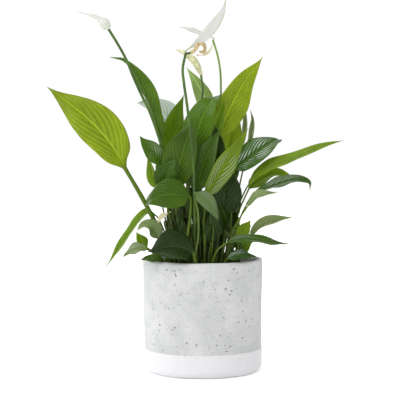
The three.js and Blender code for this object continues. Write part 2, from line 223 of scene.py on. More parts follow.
def by_angle(points):
    """A flat convex ring's points in order round its middle."""
    middle = points.mean(0)
    across = points[0] - middle
    normal = np.linalg.svd(points - middle)[2][2]
    other = np.cross(normal, across)
    return np.argsort(np.arctan2((points - middle) @ other, (points - middle) @ across))


def level_shape(ring):
    """A ring moved to the middle and brought to one size."""
    shape = ring - ring.mean(0)
    return shape / np.linalg.norm(shape)


def turned(ring, like):
    """The ring, started and turned so that its points sit nearest to those of another ring."""
    wanted = level_shape(like)
    tries = [np.roll(way, -first, axis=0) for way in (ring, ring[::-1]) for first in range(RING_POINTS)]
    return min(tries, key=lambda tried: np.square(level_shape(tried) - wanted).sum())


def leaf_rings(node):
    """The rings of a leaf from foot to tip, each as left margin, top three, right margin, lower three."""
    points, near = welded(node)
    ends = [v for v in range(len(points)) if len(near[v]) == RING_POINTS]
    tip = None
    for end in ends:
        layers = layers_from([end], near)
        flat = np.linalg.svd(points[list(layers[1])] - points[end])[1][2] < WELD
        if all(len(layer) == RING_POINTS for layer in layers[1:-1]) and not flat:
            tip, found = end, layers
    rings = [points[round_trip(layer, near)] for layer in found[1:] if len(layer) == RING_POINTS]
    foot = rings[-1]
    rings[-1] = foot[by_angle(foot)]
    spans = [max(np.linalg.norm(r[i] - r[i + 4]) for i in range(4)) for r in rings[: BLADE_RINGS - 1]]
    widest = int(np.argmax(spans))
    ring = rings[widest]
    first = max(range(4), key=lambda i: np.linalg.norm(ring[i] - ring[i + 4]))
    ring = np.roll(ring, -first, axis=0)
    lift = (ring[1] + ring[3]) / 2 - ring[2]
    if (ring[TOP] - ring[BELOW]) @ lift < 0:
        ring = np.roll(ring, -4, axis=0)
    along = rings[widest - 1].mean(0) - ring.mean(0)
    if np.cross(ring[RIGHT] - ring[LEFT], along) @ lift < 0:
        ring = ring[[4, 3, 2, 1, 0, 7, 6, 5]]
    rings[widest] = ring
    for k in range(widest - 1, -1, -1):
        rings[k] = turned(rings[k], rings[k + 1])
    for k in range(widest + 1, len(rings)):
        rings[k] = turned(rings[k], rings[k - 1])
    rings = rings[::-1] + [np.repeat(points[[tip]], RING_POINTS, axis=0)]
    return np.array(rings)


leaf_nodes = sorted(n for n in frame["nodes"] if n.endswith("_leaf"))
all_rings = {n: leaf_rings(n) for n in leaf_nodes}
print("leaves read back:", len(all_rings))

# %% [markdown]
# ## A fine leaf
# A real blade is under a millimetre thick. Its midrib is a groove above and a rib below, and ten or
# so side veins sweep from the midrib towards the tip. The skin between the veins stands up in long
# soft pillows, and these pillows are what break the shine into stripes. A flat card with a picture
# on it could never do that, so the pillows are real shape here: eight smooth lines are run through
# the rings, rows are drawn between them, and each point is then moved along the surface's normal.

# %% Smooth rows through the rings
HALF_COLUMNS = 21
ROW_STEP = 1.5 * MM
STALK_ROW_STEP = 3.0 * MM
rng = np.random.default_rng(7)


def smooth_rows(rings, places):
    """Points at ring numbers such as 2.4, on smooth lines through every ring's points."""
    padded = np.concatenate([[2 * rings[0] - rings[1]], rings, [2 * rings[-1] - rings[-2]]])
    cell = np.clip(places.astype(int), 0, len(rings) - 2)
    f = (places - cell)[:, None, None]
    a, b, c, d = (padded[cell + k] for k in range(4))
    bend, twist = 2 * a - 5 * b + 4 * c - d, 3 * b - a - 3 * c + d
    return 0.5 * (2 * b + (c - a) * f + bend * f**2 + twist * f**3)


print("columns across a leaf:", 2 * HALF_COLUMNS - 1)

# %% Rows and columns of a leaf
def row_places(rings):
    """Ring numbers of the fine rows, and each row's place on the blade: 0 at the neck, 1 at the tip."""
    fine = np.linspace(0, len(rings) - 1, 600)
    line = smooth_rows(rings, fine)[:, TOP]
    run = np.concatenate([[0], np.cumsum(np.linalg.norm(np.diff(line, axis=0), axis=1))])
    neck_ring = len(rings) - 1 - BLADE_RINGS
    neck = np.interp(neck_ring, fine, run)
    blade_length = run[-1] - neck
    stalk_rows = max(2, int(neck / STALK_ROW_STEP)) if neck_ring > 0 else 0
    blade_rows = max(24, int(blade_length / ROW_STEP))
    wanted = np.concatenate([
        np.linspace(0, neck, stalk_rows, endpoint=False),
        np.linspace(neck, run[-1], blade_rows + 1)[:-1],
    ])
    return np.interp(wanted, run, fine), (wanted - neck) / blade_length


def across_curve(left, quarter, middle, u):
    """A parabola from the middle (u 0) past the quarter point (u 0.5) to the margin (u 1)."""
    u = u[None, :, None]
    m, q, e = middle[:, None], quarter[:, None], left[:, None]
    return m * (1 - u) * (1 - 2 * u) + q * 4 * u * (1 - u) + e * u * (2 * u - 1)


def smoothstep(low, high, value):
    f = np.clip((value - low) / (high - low), 0, 1)
    return f * f * (3 - 2 * f)


print("rows along a leaf are", ROW_STEP, "m apart")

# %% Build one leaf mesh
TIP_THINNEST = 0.08


def grid_normals(grid):
    along = np.gradient(grid, axis=0)
    across = np.gradient(grid, axis=1)
    normal = np.cross(across, along)
    size = np.linalg.norm(normal, axis=2, keepdims=True)
    return normal / np.maximum(size, 1e-12)


def leaf_surface(rings, form):
    """Upper and lower point grids of a leaf, from left margin to right margin."""
    places, t = row_places(rings)
    lines = smooth_rows(rings, places)
    u = np.linspace(0, 1, HALF_COLUMNS) ** 1.15
    top_left = across_curve(lines[:, 0], lines[:, 1], lines[:, 2], u)
    top_right = across_curve(lines[:, 4], lines[:, 3], lines[:, 2], u)
    low_left = across_curve(lines[:, 0], lines[:, 7], lines[:, 6], u)
    low_right = across_curve(lines[:, 4], lines[:, 5], lines[:, 6], u)
    top = np.concatenate([top_left[:, :0:-1], top_right], axis=1)
    low = np.concatenate([low_left[:, :0:-1], low_right], axis=1)
    signed = np.concatenate([-u[:0:-1], u])[None, :]
    size = np.abs(signed)
    t = t[:, None]
    normals = grid_normals(top)
    half = np.linalg.norm(lines[:, RIGHT] - lines[:, LEFT], axis=1)[:, None] / 2
    on_blade = smoothstep(0.01, 0.12, t)
    near_tip = 1 - smoothstep(0.9, 1.0, t)
    # the margins wave gently, each side in its own rhythm
    side = np.where(signed < 0, 0, 1)
    wave = np.where(
        side == 0,
        np.sin(2 * np.pi * (form["waves"] * t + form["phase"])),
        np.sin(2 * np.pi * (form["waves"] * 1.13 * t + form["phase"] * 1.7)),
    )
    lift = form["wave_height"] * wave * size**2.2 * on_blade * near_tip
    # side veins leave the midrib at a slant and bend towards the tip
    slant = form["vein_slant"] * size + form["vein_bend"] * size**2
    rank = (t - slant) * form["veins"] + 0.35 * side + 0.25 * np.sin(9 * t + form["phase"] * 5)
    pillow = np.abs(np.sin(np.pi * rank)) ** 0.75
    narrowing = 1 - smoothstep(0.55, 0.95, t)
    pillow_mask = smoothstep(0.03, 0.2, size) * (1 - smoothstep(0.86, 1.0, size)) * on_blade * narrowing
    lift = lift + form["pillow"] * pillow * pillow_mask
    # the midrib is a groove above
    groove = np.exp(-((size * half / form["rib_width"]) ** 2)) * on_blade
    lift = lift - form["groove"] * groove * (1 - 0.7 * t)
    blade_top = top + normals * lift[:, :, None]
    thickness = form["thickness"] * (1 - 0.55 * size**3) + form["rib_depth"] * groove * (1 - 0.8 * t)
    tip_share = np.clip(half / (2.5 * MM), TIP_THINNEST, 1)
    blade_low = blade_top - normals * (thickness * tip_share)[:, :, None]
    share = on_blade[:, :, None]
    return blade_top, low * (1 - share) + blade_low * share, signed, t


def ring_faces(rows, columns):
    """Faces of stacked rings: the sides, then a fan to a first and to a last middle point."""
    index = np.arange(rows * columns).reshape(rows, columns)
    beside = np.roll(index, -1, axis=1)
    faces = np.stack([index[:-1], beside[:-1], beside[1:], index[1:]], axis=-1).reshape(-1, 4).tolist()
    first, last = rows * columns, rows * columns + 1
    faces += [[b, a, first] for a, b in zip(index[0].tolist(), beside[0].tolist())]
    faces += [[a, b, last] for a, b in zip(index[-1].tolist(), beside[-1].tolist())]
    return faces


def shell_mesh(name, top, low, signed, t, tip):
    """A closed mesh round an upper and a lower grid that meet at the margins."""
    rows, columns = top.shape[:2]
    ring = np.concatenate([top, low[:, columns - 2:0:-1]], axis=1)
    around = ring.shape[1]
    points = np.concatenate([ring.reshape(-1, 3), [ring[0].mean(0)], [tip]])
    faces = ring_faces(rows, around)
    mesh = bpy.data.meshes.new(name)
    mesh.from_pydata(points.tolist(), [], faces)
    # chart: x runs 0..1 across the upper side and 2..3 across the lower side, y runs 0..1 up the leaf
    across = (signed[0] + 1) / 2
    upper_x = np.concatenate([across, across[columns - 2:0:-1]])
    is_low = np.zeros(around, bool)
    is_low[columns - 1:] = True
    height = np.concatenate([(t[:, 0] + 1) / 2, [0.0, 1.0]])
    chart = mesh.uv_layers.new(name="chart")
    loops = np.zeros(len(mesh.loops), int)
    mesh.loops.foreach_get("vertex_index", loops)
    face_of_loop = np.repeat(np.arange(len(faces)), [len(f) for f in faces])
    column_of_face = np.tile(np.arange(around), rows + 1)
    column = np.where(loops < rows * around, loops % around, 0)
    row = np.where(loops < rows * around, loops // around, rows + (loops - rows * around))
    x = np.where(loops < rows * around, upper_x[column], 0.5)
    x = x + 2.0 * is_low[column_of_face[face_of_loop]]
    chart.data.foreach_set("uv", np.stack([x, height[row]], axis=-1).ravel())
    mesh.shade_smooth()
    mesh.validate()
    return mesh


def place_piece(name, mesh, material, slot, *nodes):
    """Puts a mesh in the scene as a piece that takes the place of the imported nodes."""
    piece = bpy.data.objects.new(name, mesh)
    mesh.materials.append(material)
    bpy.context.scene.collection.objects.link(piece)
    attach(piece, "root")
    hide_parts(*nodes)


print("leaf mesh builder ready")


# %% [markdown]
# ## Leaf finish
# Light that falls on a leaf from behind comes through it yellow-green, and light from the front
# bounces off its waxy skin as a white streak. So the leaf mixes a glossy skin with a translucent
# body. The side veins are a little darker than the skin, the midrib is paler, and the chart tells
# the two sides of a leaf apart: the lower side is duller and greyer. Some shine is painted too: the
# pillow crowns are painted paler as a highlight, and on some leaves white stripes between the veins
# are a painted sheen.

# %% Leaf material
LEAF_SPECULAR = 0.17
STALK_GREEN = (0.07, 0.125, 0.006)
# painted shade at the foot of the stalks
STALK_FOOT_SHADE = (0.022, 0.032, 0.004)
UNDERSIDE_GREEN = (0.16, 0.24, 0.07)
THROUGH_LIGHT = (0.5, 0.62, 0.02)
# the white of the painted sheen between the veins
PAINTED_SHEEN_WHITE = (0.6, 0.68, 0.58)


def leaf_finish(name, skin, form, gloss, through, vein_contrast, painted_sheen):
    f = Finish(name)
    dark = tuple(c * 0.5 for c in skin)
    pale = tuple(min(1, c * 1.7 + 0.012) for c in skin)
    x, y = f.chart("chart")
    below = x > 1.5
    across = (x - below * 2.0) * 2.0 - 1.0
    size = abs(across)
    right = across > 0.0
    t = y * 2.0 - 1.0
    on_blade = t.ramp(0.0, 0.1)
    slant = size * form["vein_slant"] + size * size * form["vein_bend"]
    rank = (t - slant) * form["veins"] + right * 0.35 + (t * 9.0 + form["phase"] * 5.0).sin() * 0.25
    pillow = abs((rank * math.pi).sin())
    wide_part = t.ramp(0.5, 0.85, 1.0, 0.0) * on_blade
    side_vein = pillow.ramp(0.0, 0.34, 1.0, 0.0) * size.ramp(0.02, 0.1) * wide_part
    fine_vein = abs((rank * math.pi * 4.0).sin()).ramp(0.0, 0.5, 1.0, 0.0) * wide_part
    midrib = size.ramp(0.02, 0.075, 1.0, 0.0)
    where = f.place()
    cloud = f.noise(where, 34.0, 3.0)
    speck = f.noise(where, 420.0, 2.0)
    colour = f.blend(cloud.ramp(0.32, 0.68), skin, tuple(c * 0.66 for c in skin))
    colour = f.blend(side_vein * vein_contrast + fine_vein * 0.14, colour, dark)
    # painted highlight: the crowns of the pillows are made paler, as if catching the light
    colour = f.blend(pillow.ramp(0.6, 1.0) * 0.28 * wide_part, colour, pale)
    # painted sheen: white stripes on the pillow crowns stand for light reflected off the waxy skin
    sheen_patch = cloud.ramp(0.42, 0.6) * size.ramp(0.1, 0.3) * size.ramp(0.8, 0.98, 1.0, 0.0)
    colour = f.blend(pillow.ramp(0.7, 0.95) * sheen_patch * wide_part * painted_sheen, colour, PAINTED_SHEEN_WHITE)
    colour = f.blend(midrib * 0.6, colour, pale)
    colour = f.blend(size.ramp(0.93, 1.0) * 0.35, colour, pale)
    colour = f.blend(1.0 - on_blade, colour, STALK_GREEN)
    # painted shade: the foot of each stalk, down in the crowded clump, is painted almost black
    colour = f.blend(t.ramp(-1.0, -0.4, 0.75, 0.0), colour, STALK_FOOT_SHADE)
    colour = f.blend(below * 0.45, colour, UNDERSIDE_GREEN)
    rough = speck * 0.12 + below * 0.2 + gloss
    relief = speck * wide_part * 0.25 - side_vein * 0.5 - fine_vein * 0.1
    body = f.skin(colour, rough, LEAF_SPECULAR, relief, 0.35, 0.4 * MM)
    clear = f.node("ShaderNodeBsdfTranslucent", {}, {"Color": (*THROUGH_LIGHT, 1.0)})
    share = (1.0 - side_vein * 0.55 - midrib * 0.4) * on_blade * through
    both = f.node("ShaderNodeMixShader", {}, {0: share, 1: body, 2: clear})
    return f.surface(both)


print("light that comes through a leaf:", THROUGH_LIGHT)

# %% Leaf tones and streaks
# skin, gloss, light let through, how dark the side veins are
LEAF_TONES = {
    "deep_green_leaf": ((0.036, 0.088, 0.0035), 0.21, 0.12, 0.6),
    "fresh_green_leaf": ((0.15, 0.26, 0.008), 0.23, 0.3, 0.5),
    "pale_green_leaf": ((0.22, 0.3, 0.12), 0.36, 0.2, 0.4),
}
# Leaves that differ from their group, as shares of the group's red, green and blue. This is partly
# each leaf's own tone and partly painted light and shade: leaves lit from behind are painted
# brighter, leaves in the shadow of others are painted darker, and the paler, bluer ones carry a
# painted sheen.
LEAF_TONE_AND_PAINTED_LIGHT = {
    "far_left_leaf": (1.45, 1.25, 1.2), "tall_right_leaf": (1.45, 1.3, 1.0),
    "pale_upper_leaf": (2.0, 1.9, 1.6), "pale_left_back_leaf": (2.6, 2.1, 5.0),
    "round_front_leaf": (0.3, 0.36, 0.4), "broad_dark_leaf": (0.25, 0.34, 0.4),
    "low_front_leaf": (0.3, 0.37, 0.9), "striped_right_leaf": (1.3, 1.25, 2.6),
    "small_centre_leaf": (0.42, 0.5, 0.4), "upper_centre_leaf": (1.9, 1.75, 0.9),
    "upright_left_leaf": (0.6, 0.75, 0.4), "left_pointed_leaf": (1.4, 1.3, 1.0),
    "bright_back_leaf": (1.3, 1.2, 0.6), "dark_gap_leaf": (0.4, 0.45, 0.5),
    "right_rim_leaf": (0.8, 0.9, 3.0), "left_arching_leaf": (0.8, 0.85, 0.6),
    "long_right_leaf": (1.0, 1.05, 1.5), "tall_left_leaf": (1.9, 1.75, 2.4),
    "big_centre_leaf": (1.3, 1.25, 1.0),
}
# How strongly the skin between the veins carries painted sheen: white stripes that stand for light reflected
# off the waxy skin
LEAF_PAINTED_SHEEN = {
    "striped_right_leaf": 0.85, "front_diagonal_leaf": 0.35, "left_pointed_leaf": 0.35,
    "pale_left_back_leaf": 0.5, "hooked_right_leaf": 0.45, "right_rim_leaf": 0.6,
    "pale_right_leaf": 0.5, "low_right_leaf": 0.3, "left_low_pale_leaf": 0.5,
    "wavy_right_leaf": 0.4, "small_centre_leaf": 0.2,
}
print("leaves with a look of their own:", len(LEAF_TONE_AND_PAINTED_LIGHT))

# %% Make every leaf
STALK_IN_SOIL = 6 * MM
node_slots = {s["node"]: s["material_slot"] for s in frame["record"]["subparts"]}


def leaf_form(width):
    """The numbers that make one leaf differ from the next."""
    return {
        "veins": float(rng.uniform(8.5, 11)), "vein_slant": 0.34, "vein_bend": 0.16,
        "phase": float(rng.uniform(0, 1)), "waves": float(rng.uniform(1.2, 2.4)),
        "wave_height": width * rng.uniform(0.03, 0.065), "pillow": 0.75 * MM * min(1, width / (34 * MM)),
        "rib_width": 1.0 * MM, "groove": 0.6 * MM, "rib_depth": 0.9 * MM, "thickness": 0.55 * MM,
    }


def rooted(rings):
    """The rings with one more at the foot, a little way down in the soil."""
    down = rings[0] - rings[1]
    return np.concatenate([[rings[0] + down / np.linalg.norm(down.mean(0)) * STALK_IN_SOIL], rings])


def make_leaf(name, rings, slot, shade, *nodes):
    width = float(np.linalg.norm(rings[:, RIGHT] - rings[:, LEFT], axis=1).max())
    form = leaf_form(width)
    top, low, signed, t = leaf_surface(rooted(rings), form)
    mesh = shell_mesh(name, top, low, signed, t, rings[-1][0])
    skin, gloss, through, vein_contrast = LEAF_TONES[slot]
    # a shade below 1 darkens the leaf as painted shade
    shift = rng.uniform(0.92, 1.08, 3) * rng.uniform(0.85, 1.1) * shade
    known_as = nodes[0] if nodes else ""
    # each leaf's own tone, times its painted light and shade
    skin = tuple(np.clip(np.array(skin) * shift * LEAF_TONE_AND_PAINTED_LIGHT.get(known_as, (1, 1, 1)), 0, 1).tolist())
    painted_sheen = LEAF_PAINTED_SHEEN.get(known_as, 0.0)
    material = leaf_finish(name + "_finish", skin, form, gloss, through, vein_contrast, painted_sheen)
    place_piece(name, mesh, material, slot, *nodes)


for node in leaf_nodes:
    make_leaf(node + "_fine", all_rings[node], node_slots[node], 1.0, node)
print("fine leaves:", len(leaf_nodes))

# %% [markdown]
# ## Young growth
# A peace lily is one crowded clump: between the grown leaves stand younger ones, short and
# painted dark as shade, and they are why nobody can see through the middle of the plant. Each is a
# grown leaf's shape, made smaller and turned, standing on its own spot in the soil. They only fill
# the shade, so the imported model leaves them out.

# %% Young leaves in the shade
YOUNG_LEAVES = 64
YOUNG_REACH = 44 * MM
YOUNG_PAINTED_SHADE = 0.5
YOUNG_SOURCES = [
    "back_upright_leaf", "big_centre_leaf", "dark_gap_leaf", "broad_dark_leaf", "back_slant_leaf",
]


def young_rings(spot, turn, size, source):
    """A grown leaf's rings, scaled about its foot, turned about the upright and moved to a spot."""
    rings = all_rings[source]
    foot = rings[0].mean(0)
    c, n = math.cos(turn), math.sin(turn)
    spin = np.array([[c, -n, 0], [n, c, 0], [0, 0, 1]])
    return (rings - foot) @ spin.T * size + np.array([spot[0], spot[1], foot[2]])


for k in range(YOUNG_LEAVES):
    around = k * 2.4 + rng.uniform(-0.3, 0.3)
    reach = YOUNG_REACH * math.sqrt((k + 0.5) / YOUNG_LEAVES)
    spot = (reach * math.cos(around), reach * math.sin(around))
    source = YOUNG_SOURCES[k % len(YOUNG_SOURCES)]
    rings = young_rings(spot, rng.uniform(0, 2 * math.pi), rng.uniform(0.3, 0.62), source)
    make_leaf(f"young_leaf_{k}", rings, "deep_green_leaf", YOUNG_PAINTED_SHADE)
print("young leaves:", YOUNG_LEAVES)

# %% [markdown]
# ## Stems, and other round things
# A flower stem is a smooth green rod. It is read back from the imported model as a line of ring
# middles, drawn again with more sides, and given faint ridges along its length. The rolled bud and
# the dried spadix are the same kind of rod with a different thickness and a rougher skin.

# %% Rods
ROD_RING = 8
ROD_SIDES = 20
ROD_ROW_STEP = 1.2 * MM
FLAT_ANGLE = 0.01


def flat_ends(node):
    """The flat end faces of a packed rod, as lists of corners."""
    mesh = bmesh.new()
    mesh.from_mesh(frame["nodes"][node].data)
    bmesh.ops.remove_doubles(mesh, verts=mesh.verts, dist=WELD)
    bmesh.ops.dissolve_limit(mesh, angle_limit=FLAT_ANGLE, verts=mesh.verts, edges=mesh.edges)
    flat = [face for face in mesh.faces if len(face.verts) == ROD_RING]
    ends = [np.array([v.co[:] for v in face.verts]) for face in flat]
    mesh.free()
    return sorted(ends, key=lambda corners: corners[:, 2].mean())


def rod_line(node):
    """The middles and radii of a packed rod's rings, from its lower end on."""
    points, near = welded(node)
    corners = flat_ends(node)[0]
    start = {int(np.argmin(np.linalg.norm(points - corner, axis=1))) for corner in corners}
    rings = [points[list(layer)] for layer in layers_from(start, near)]
    middles = np.array([ring.mean(0) for ring in rings])
    radii = [np.linalg.norm(ring - middle, axis=1).mean() for ring, middle in zip(rings, middles)]
    return middles, np.array(radii)


def rod_mesh(name, middles, radii, relief):
    """A closed rod; relief(around, along) gives each point's distance out as a share of the radius."""
    line = np.concatenate([middles, radii[:, None]], axis=1)[:, None]
    fine = np.linspace(0, len(line) - 1, 400)
    smooth = smooth_rows(line, fine)[:, 0]
    run = np.concatenate([[0], np.cumsum(np.linalg.norm(np.diff(smooth[:, :3], axis=0), axis=1))])
    rows = max(8, int(run[-1] / ROD_ROW_STEP))
    along = np.linspace(0, 1, rows)
    places = np.interp(along * run[-1], run, fine)
    smooth = smooth_rows(line, places)[:, 0]
    centre, radius = smooth[:, :3], smooth[:, 3]
    step = np.gradient(centre, axis=0)
    step /= np.linalg.norm(step, axis=1, keepdims=True)
    side = np.cross(step[0], (0.3, 1.0, 0.2))
    sides = []
    for direction in step:
        side = side - (side @ direction) * direction
        side /= np.linalg.norm(side)
        sides.append(side)
    sides = np.array(sides)
    others = np.cross(step, sides)
    around = np.arange(ROD_SIDES) / ROD_SIDES * 2 * np.pi
    out = radius[:, None] * relief(around[None, :], along[:, None])
    ring = sides[:, None] * np.cos(around)[None, :, None] + others[:, None] * np.sin(around)[None, :, None]
    grid = centre[:, None] + ring * out[:, :, None]
    points = np.concatenate([grid.reshape(-1, 3), [centre[0], centre[-1]]])
    mesh = bpy.data.meshes.new(name)
    mesh.from_pydata(points.tolist(), [], ring_faces(rows, ROD_SIDES))
    mesh.shade_smooth()
    return mesh


def plain_skin(name, low_colour, high_colour, fleck, scale, roughness, bump_height):
    """A mottled skin with small flecks, for stems, buds, dry bits and bark."""
    f = Finish(name)
    where = f.place()
    cloud = f.noise(where, scale, 4.0, 0.6)
    grain = f.noise(where, scale * 9.0, 3.0, 0.6)
    colour = f.blend(cloud.ramp(0.3, 0.7), low_colour, high_colour)
    colour = f.blend(grain.ramp(0.58, 0.72) * 0.5, colour, fleck)
    return f.surface(f.skin(colour, grain * 0.2 + roughness, 0.3, grain + cloud, 0.6, bump_height))


print("sides of a rod:", ROD_SIDES)

# %% Flower stems
def ridged(around, along):
    return 1 + 0.05 * np.sin(6 * around) + 0.06 * np.sin(9 * along + around)


stem_skin = plain_skin(
    "flower_stem_finish", (0.024, 0.062, 0.005), (0.055, 0.115, 0.01), (0.1, 0.16, 0.025), 60.0, 0.34, 0.0002,
)
pale_stem_skin = plain_skin(
    "pale_stem_finish", (0.11, 0.19, 0.025), (0.2, 0.28, 0.06), (0.28, 0.34, 0.1), 60.0, 0.34, 0.0002,
)
dark_stem_skin = plain_skin(
    "dark_stem_finish", (0.008, 0.02, 0.003), (0.02, 0.045, 0.006), (0.04, 0.07, 0.01), 90.0, 0.4, 0.0002,
)
stem_nodes = sorted(n for n in frame["nodes"] if n.endswith("_stem"))
for node in stem_nodes:
    middles, radii = rod_line(node)
    middles = np.concatenate([[middles[0] - (0, 0, STALK_IN_SOIL)], middles])
    radii = np.concatenate([[radii[0]], radii])
    skin = pale_stem_skin if node == "right_flower_stem" else stem_skin
    place_piece(node + "_fine", rod_mesh(node + "_fine", middles, radii, ridged), skin, "flower_stem", node)
print("flower stems:", len(stem_nodes))

# %% [markdown]
# ## Sheaths
# At the soil every stalk comes out of a short sheath, and old cut stalks stay standing among
# them. Together they close the gaps between the stalks, and they are painted almost black as the
# shade at the foot of the clump. They are many short tapering rods in one mesh, leaning outwards
# a little, and too low to be seen apart, so the imported model has none.

# %% A clump of sheaths
SHEATHS = 150
SHEATH_REACH = 43 * MM
SHEATH_RADIUS = 1.9 * MM
GOLDEN_ANGLE = 2.39996


def tapering(around, along):
    return (1 - 0.65 * along**1.5) * (1 + 0.08 * np.sin(3 * around))


foot_height = float(all_rings["dark_gap_leaf"][0].mean(0)[2]) - STALK_IN_SOIL
clump = bmesh.new()
for k in range(SHEATHS):
    angle = k * GOLDEN_ANGLE
    reach = SHEATH_REACH * math.sqrt((k + 0.5) / SHEATHS)
    out = np.array([math.cos(angle), math.sin(angle), 0.0])
    tall = rng.uniform(22, 72) * MM * (1 - 0.35 * reach / SHEATH_REACH)
    lean = rng.uniform(0.05, 0.3)
    foot = out * reach + np.array([0, 0, foot_height])
    shares = np.linspace(0, 1, 4)[:, None]
    middles = foot + shares * np.array([0, 0, tall]) + shares**2 * out * tall * lean
    rod = rod_mesh("sheath", middles, np.full(4, SHEATH_RADIUS * rng.uniform(0.7, 1.2)), tapering)
    clump.from_mesh(rod)
    bpy.data.meshes.remove(rod)
clump_mesh = bpy.data.meshes.new("sheath_clump")
clump.to_mesh(clump_mesh)
clump.free()
# painted shade: the sheaths are coloured almost black for the shadow among the stalks
sheath_shade_skin = plain_skin(
    "sheath_finish", (0.018, 0.034, 0.003), (0.05, 0.08, 0.007), (0.11, 0.1, 0.03), 90.0, 0.4, 0.0003,
)
place_piece("sheath_clump", clump_mesh, sheath_shade_skin, "deep_green_leaf")
print("sheaths:", SHEATHS)

# %% [markdown]
# ## Flowers
# The white part of a peace lily's flower is one leaf, the spathe, with veins that run from its base
# to its point side by side. It is built like a green leaf, with lengthwise veins in place of the
# slanting ones. It is so thin that light from behind shines through it. Tracing that light would
# need many samples, so most of the white is a soft glow of its own, and the rest is lit skin. One
# flower is still rolled up, one is swollen and about to open, and the main one has a dried, curled
# spadix on a short stalk with a dry bract beside it.

# %% Spathe finish
SPATHE_GLOW = 0.75
SPATHE_VEINS = 3


def spathe_finish(name, white, green):
    f = Finish(name)
    x, y = f.chart("chart")
    below = x > 1.5
    across = (x - below * 2.0) * 2.0 - 1.0
    size = abs(across)
    t = y * 2.0 - 1.0
    vein = abs((size * SPATHE_VEINS * math.pi).sin()).ramp(0.0, 0.4, 1.0, 0.0)
    midrib = size.ramp(0.02, 0.12, 1.0, 0.0)
    cloud = f.noise(f.place(), 120.0, 3.0)
    colour = f.blend(vein * t.ramp(0.4, 0.8, 1.0, 0.0) * 0.12 + cloud.ramp(0.4, 0.8) * 0.1, white, green)
    colour = f.blend(midrib * t.ramp(0.3, 0.8, 0.4, 0.0) + below * 0.1, colour, green)
    colour = f.blend(t.ramp(0.0, 0.3, 0.7, 0.0) + t.ramp(0.8, 1.0) * 0.9, colour, green)
    colour = f.blend(size.ramp(0.6, 1.0) * t.ramp(0.35, 0.7, 0.15, 0.7), colour, green)
    # painted light: the glow stands in for light shining through the thin spathe, and the dry bract glows the
    # same way
    glow = {"Emission Color": colour, "Emission Strength": SPATHE_GLOW * 0.9}
    lit = f.blend(SPATHE_GLOW, colour, (0, 0, 0))
    return f.surface(f.skin(lit, cloud * 0.15 + 0.42, 0.2, cloud, 0.2, 0.2 * MM, **glow))


print("lengthwise veins on each half of a spathe:", SPATHE_VEINS)

# %% Shapes of spathes, bud and spadix
PETAL_IN_STEM = 4 * MM


def petal_form(width):
    """A leaf's numbers without the swellings, and thinner."""
    form = leaf_form(width)
    form.update({"pillow": 0.0, "groove": 0.08 * MM, "rib_depth": 0.3 * MM, "thickness": 0.5 * MM})
    return form


def rolled(around, along):
    """A spindle with a faint twist."""
    body = np.sin(np.pi * np.clip(along, 0.04, 0.985) ** 0.8) ** 0.7
    return body * (1 + 0.09 * np.sin(around + 11 * along) + 0.05 * np.sin(13 * around + 4 * along))


def swollen(around, along):
    """A flower about to open: fat above the stem, then drawn out to a long thin point."""
    belly = 0.8 * np.exp(-(((along - 0.17) / 0.16) ** 2))
    body = 0.2 + belly + 0.3 * np.exp(-(((along - 0.45) / 0.25) ** 2))
    return body * (1 - 0.8 * along**2.5) * (1 + 0.07 * np.sin(2 * around + 9 * along))


def lumpy(around, along):
    """The dried spadix, knobbly and thinner at its end."""
    lumps = np.sin(4 * around + 70 * along) * np.sin(110 * along - 3 * around) * 0.26
    return 1 + lumps + 0.14 * np.sin(23 * along + 1.0) - 0.6 * along**6


petal_nodes = sorted(n for n in frame["nodes"] if n.endswith("_spathe") or n == "dry_bract")
print("petals to make:", len(petal_nodes))

# %% Make the flowers
SPATHE_WHITE = (0.76, 0.76, 0.74)
SPATHE_GREEN = (0.4, 0.48, 0.2)
BUD_CREAM = ((0.4, 0.4, 0.19), (0.62, 0.61, 0.4), (0.27, 0.31, 0.11))
BUD_WHITE = ((0.5, 0.52, 0.45), (0.58, 0.59, 0.56), (0.4, 0.46, 0.3))
BRACT_BUFF = (0.72, 0.66, 0.44)
BRACT_VEIN = (0.55, 0.48, 0.26)
DRIED_BROWN = ((0.34, 0.23, 0.09), (0.6, 0.5, 0.29), (0.17, 0.1, 0.035))
SPADIX_STALK_RADIUS = 1.1 * MM
SPADIX_STALK_SAG = 0.6 * MM
spathe_skin = spathe_finish("spathe_finish", SPATHE_WHITE, SPATHE_GREEN)
bract_skin = spathe_finish("dry_bract_finish", BRACT_BUFF, BRACT_VEIN)
bud_skin = plain_skin("bud_finish", *BUD_CREAM, 150.0, 0.42, 0.0004)
white_bud_skin = plain_skin("white_bud_finish", *BUD_WHITE, 120.0, 0.42, 0.0003)
dried_skin = plain_skin("dried_finish", *DRIED_BROWN, 260.0, 0.6, 0.0006)
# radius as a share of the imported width, shape, skin
ROLLED_FLOWERS = {
    "closed_flower_spathe": (0.42, rolled, bud_skin),
    "left_flower_spathe": (0.6, swollen, white_bud_skin),
}
for node in petal_nodes:
    slot, rings = node_slots[node], leaf_rings(node)
    back = (rings[0] - rings[1]).mean(0)
    rings[0] += back / np.linalg.norm(back) * PETAL_IN_STEM
    width = float(np.linalg.norm(rings[:, RIGHT] - rings[:, LEFT], axis=1).max())
    if node in ROLLED_FLOWERS:
        share, shape, skin = ROLLED_FLOWERS[node]
        mesh = rod_mesh(node + "_fine", rings.mean(1), np.full(len(rings), width * share), shape)
    else:
        skin = bract_skin if slot == "dry_bract" else spathe_skin
        top, low, signed, t = leaf_surface(rings, petal_form(width))
        mesh = shell_mesh(node + "_fine", top, low, signed, t, rings[-1][0])
    place_piece(node + "_fine", mesh, skin, slot, node)
middles, radii = rod_line("withered_spadix")
